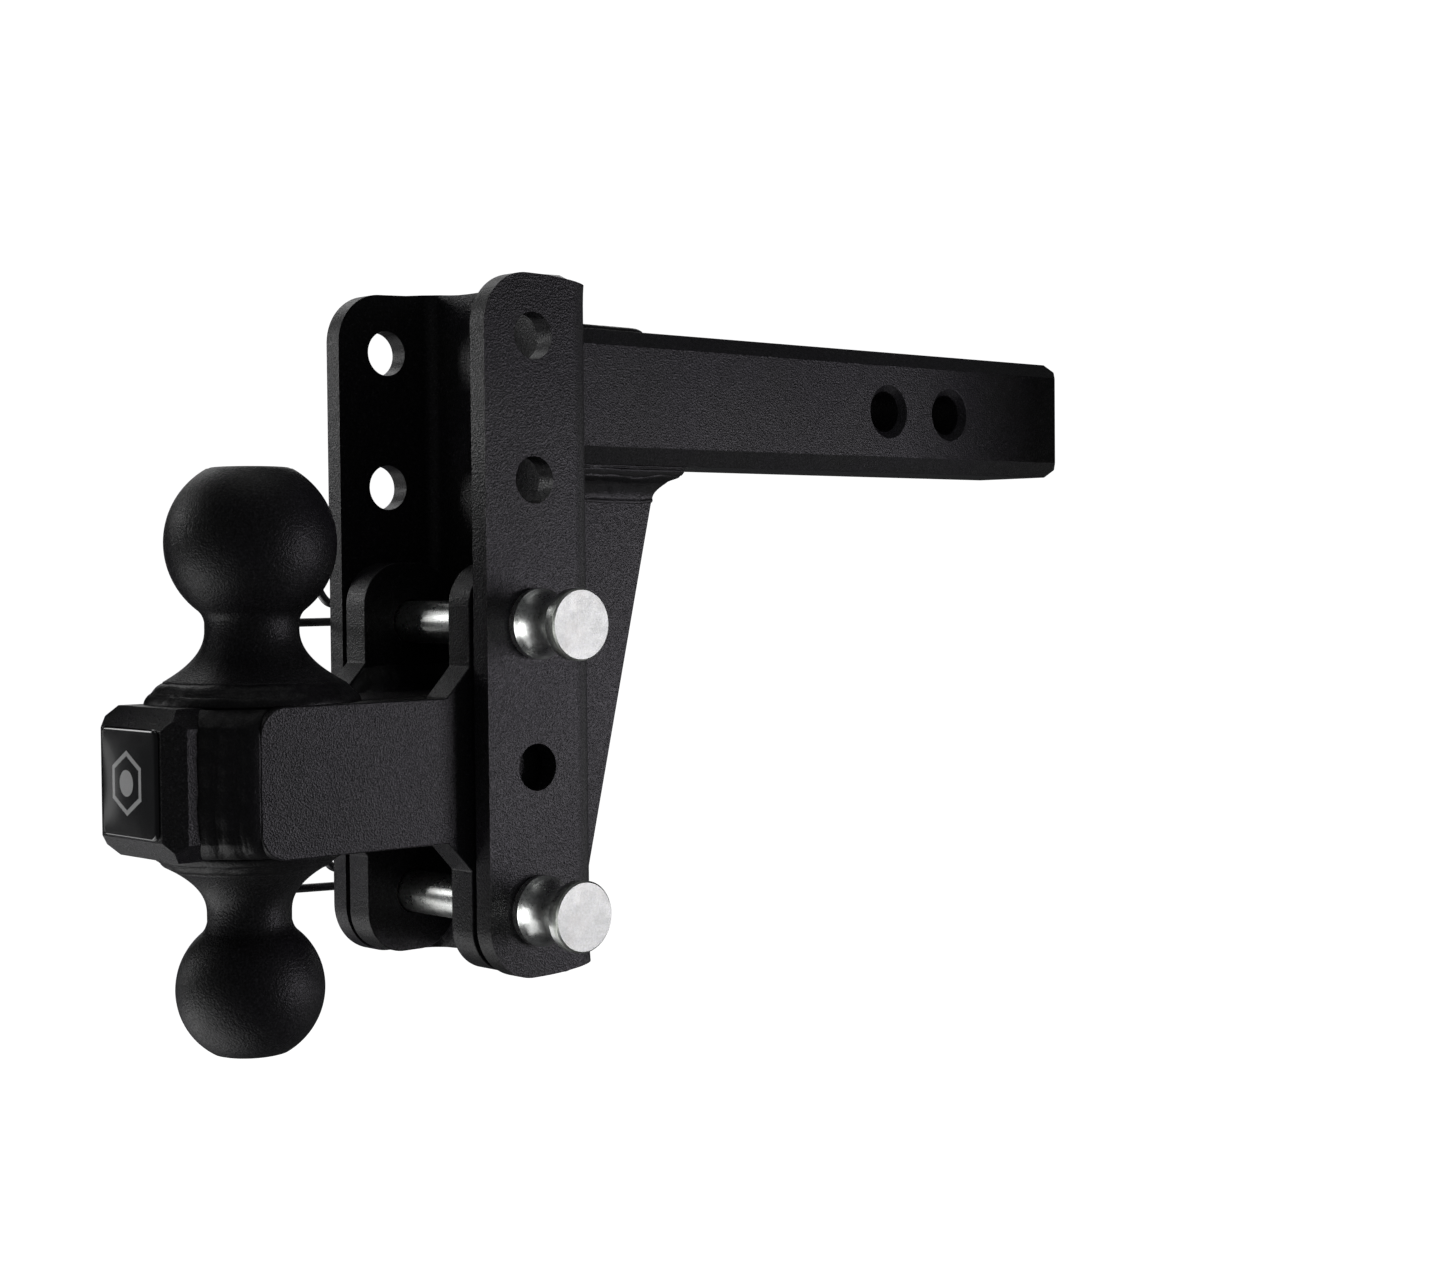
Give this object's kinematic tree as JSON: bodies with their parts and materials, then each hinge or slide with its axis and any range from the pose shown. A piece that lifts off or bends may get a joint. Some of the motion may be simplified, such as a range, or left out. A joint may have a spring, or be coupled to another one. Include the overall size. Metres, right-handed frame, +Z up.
{
  "type": "trailer hitch with ball",
  "caption": "Adjustable drop hitch: square shank, tall pin-hole channel with gusset, and a clevis ball mount with a larger ball up and a smaller ball down, held by clipped pins.",
  "frame": {"origin": "centre of the shank's free end face", "axes": "+X out of the shank's free end, towards the vehicle; +Z up; +Y to the left, away from the pin heads"},
  "size_m": [0.4593, 0.1362, 0.2699],
  "materials": {
    "powder_coat": "satin black powder coat with a fine grain",
    "ball_coat": "matte black powder coat on turned steel",
    "weld_coat": "satin black powder coat over rippled weld beads",
    "zinc_pin": "bright zinc-plated turned steel",
    "clip_wire": "drawn spring wire",
    "label": "clear domed gloss label, black with a plain pale pattern"
  },
  "bodies": {
    "hitch": {"shank": "powder_coat", "channel": "powder_coat", "gusset": "powder_coat", "core_bar": "powder_coat", "clevis_plate_left": "powder_coat", "clevis_plate_right": "powder_coat", "upper_ball": "ball_coat", "lower_ball": "ball_coat", "badge": "label", "shank_weld_left": "weld_coat", "shank_weld_right": "weld_coat", "shank_top_weld": "weld_coat", "gusset_top_weld": "weld_coat", "gusset_side_weld_left": "weld_coat", "gusset_side_weld_right": "weld_coat", "upper_ball_weld": "weld_coat", "lower_ball_weld": "weld_coat", "plate_front_weld_left": "weld_coat", "plate_front_weld_right": "weld_coat", "upper_seam_weld_left": "weld_coat", "upper_seam_weld_right": "weld_coat", "lower_seam_weld_left": "weld_coat", "lower_seam_weld_right": "weld_coat", "upper_clevis_fillet_left": "weld_coat", "upper_clevis_fillet_right": "weld_coat", "lower_clevis_fillet_left": "weld_coat", "lower_clevis_fillet_right": "weld_coat"},
    "upper_pin": {"upper_pin": "zinc_pin"},
    "lower_pin": {"lower_pin": "zinc_pin"},
    "upper_clip": {"upper_clip": "clip_wire"},
    "lower_clip": {"lower_clip": "clip_wire"}
  },
  "joints": [
    {"name": "upper_pin_slide", "type": "slide", "parent": "hitch", "child": "upper_pin", "axis": [0, -1, 0], "range_m": [0, 0.125]},
    {"name": "lower_pin_slide", "type": "slide", "parent": "hitch", "child": "lower_pin", "axis": [0, -1, 0], "range_m": [0, 0.125]},
    {"name": "upper_clip_slide", "type": "slide", "parent": "hitch", "child": "upper_clip", "axis": [1, 0, 0], "range_m": [0, 0.065], "deforming": ["upper_clip"]},
    {"name": "lower_clip_slide", "type": "slide", "parent": "hitch", "child": "lower_clip", "axis": [0.9993, 0, -0.0366], "range_m": [0, 0.065], "deforming": ["lower_clip"]}
  ],
  "couplings": [
    {"joint": "upper_clip_slide", "follows": "upper_pin_slide", "ratio": 0.52},
    {"joint": "lower_clip_slide", "follows": "lower_pin_slide", "ratio": 0.52}
  ]
}
